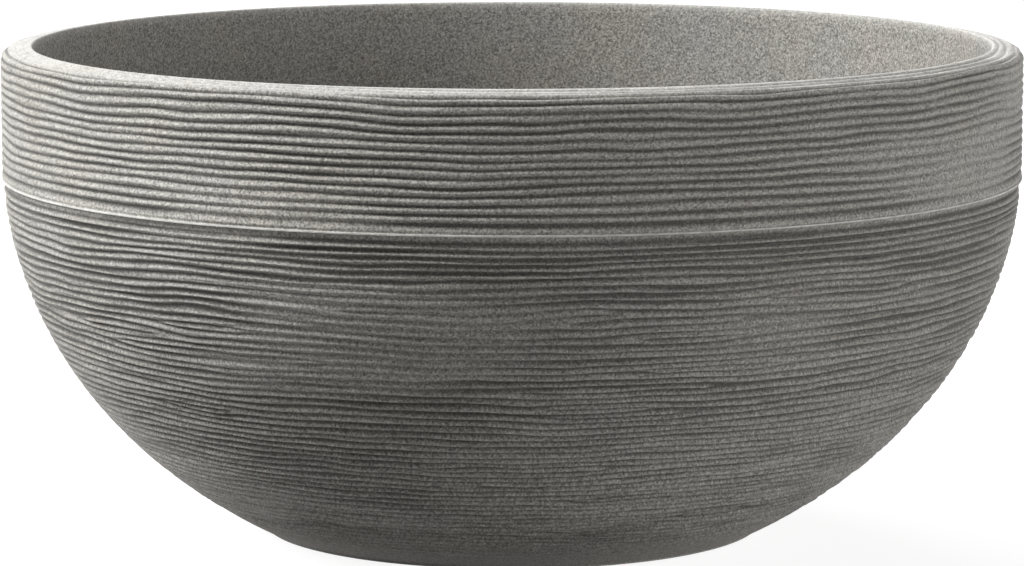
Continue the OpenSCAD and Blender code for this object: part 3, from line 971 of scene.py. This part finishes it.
class PLANTER_OT_stage(bpy.types.Operator):
    """Make the floor, the lamps, the sky and the camera"""

    bl_idname = "planter.stage"
    bl_label = "Stage"

    def execute(self, context):
        scene = context.scene
        stage = scene.planter_stage
        scene.view_settings.view_transform = "Standard"

        # Floor: near white to the camera, gloss and glass where the planter shades it,
        # and white further out. It lies a hair below the pads, which would flicker in it
        mesh = bpy.data.meshes.new("floor")
        far, low = 30.0, -0.1 * MM
        mesh.from_pydata([(x, y, low) for x, y in
                          ((-far, -far), (far, -far), (far, far), (-far, far))],
                         [], [(0, 1, 2, 3)])
        floor = bpy.data.objects.new("floor", mesh)
        scene.collection.objects.link(floor)
        material, tree = new_material("Matte white studio floor")
        matte = add(tree, "ShaderNodeBsdfDiffuse", (stage.floor,))
        away = add(tree, "ShaderNodeTexCoord", out="Object")
        away = add(tree, VECTOR, (away,), out="Value", operation="LENGTH")
        shade = 0.3
        glow = add(tree, RANGE, (away, shade, stage.floor_white, stage.floor_glow, 1.0))
        glow = add(tree, MATH, (seen_directly(tree), glow), operation="MULTIPLY")
        glow = add(tree, "ShaderNodeEmission", {"Strength": glow})
        both = add(tree, "ShaderNodeAddShader", (matte, glow))
        add(tree, "ShaderNodeOutputMaterial", (both,), out=None)
        mesh.materials.append(material)

        # Sky: white to the same rays, and a plain even light on the object
        world = bpy.data.worlds.new("Studio")
        scene.world = world
        world.use_nodes = True
        tree = world.node_tree
        tree.nodes.clear()
        strength = add(tree, RANGE, (seen_directly(tree), 0.0, 1.0, stage.sky, 1.0))
        sky = add(tree, "ShaderNodeBackground", ((1.0, 1.0, 1.0, 1.0), strength))
        add(tree, "ShaderNodeOutputWorld", (sky,), out=None)

        target = Vector(stage.look_at)
        for name, (compass, height, size, power) in LAMPS.items():
            data = bpy.data.lights.new(name, "AREA")
            data.shape = "SQUARE"
            data.size = size
            data.energy = power
            lamp = bpy.data.objects.new(name, data)
            aim_from(lamp, target, math.radians(compass), math.radians(height),
                     stage.lamp_far)
            scene.collection.objects.link(lamp)

        data = bpy.data.cameras.new("camera")
        data.sensor_fit = "HORIZONTAL"
        data.sensor_width = 36
        data.lens = stage.lens
        camera = bpy.data.objects.new("camera", data)
        aim_from(camera, target, 0.0, stage.elevation, stage.distance)
        scene.collection.objects.link(camera)
        scene.camera = camera
        return {"FINISHED"}


def seen_directly(tree):
    """1 for camera rays and for rays through or off a glossy surface, else 0."""
    rays = add(tree, "ShaderNodeLightPath", out=None).outputs
    seen = add(tree, MATH, (rays["Is Camera Ray"], rays["Is Glossy Ray"]),
               operation="MAXIMUM")
    return add(tree, MATH, (seen, rays["Is Transmission Ray"]), operation="MAXIMUM")


def aim_from(item, target, compass, height, far):
    """Place a lamp or the camera round a target and point it there."""
    away = Vector((math.sin(compass) * math.cos(height),
                   -math.cos(compass) * math.cos(height), math.sin(height)))
    item.location = target + far * away
    item.rotation_euler = (-away).to_track_quat("-Z", "Y").to_euler()


class PLANTER_PT_panel(bpy.types.Panel):
    """The planter's buttons and sizes in the 3D view's sidebar"""

    bl_label = "Low round planter"
    bl_idname = "PLANTER_PT_panel"
    bl_space_type = "VIEW_3D"
    bl_region_type = "UI"
    bl_category = "Planter"

    def draw(self, context):
        layout = self.layout
        for operator in OPERATORS:
            layout.operator(operator.bl_idname)
        for name in GROUPS:
            group = getattr(context.scene, name)
            for key in group.bl_rna.properties.keys():
                if key not in ("rna_type", "name"):
                    layout.prop(group, key)


OPERATORS = (
    PLANTER_OT_lower_bowl, PLANTER_OT_upper_collar, PLANTER_OT_inner_liner,
    PLANTER_OT_drain, PLANTER_OT_stage,
)
GROUPS = {
    "planter_shape": PlanterShape,
    "planter_ridges": PlanterRidges,
    "planter_finish": PlanterFinish,
    "planter_stage": PlanterStage,
}


def register():
    for group in (*GROUPS.values(), *OPERATORS, PLANTER_PT_panel):
        bpy.utils.register_class(group)
    for name, group in GROUPS.items():
        setattr(bpy.types.Scene, name, PointerProperty(type=group))


def unregister():
    for name in GROUPS:
        delattr(bpy.types.Scene, name)
    for group in (PLANTER_PT_panel, *reversed(OPERATORS), *reversed(GROUPS.values())):
        bpy.utils.unregister_class(group)


def main():
    register()
    bpy.ops.planter.lower_bowl()
    bpy.ops.planter.upper_collar()
    bpy.ops.planter.inner_liner()
    bpy.ops.planter.drain()
    bpy.ops.planter.stage()


if __name__ == "__main__":
    main()
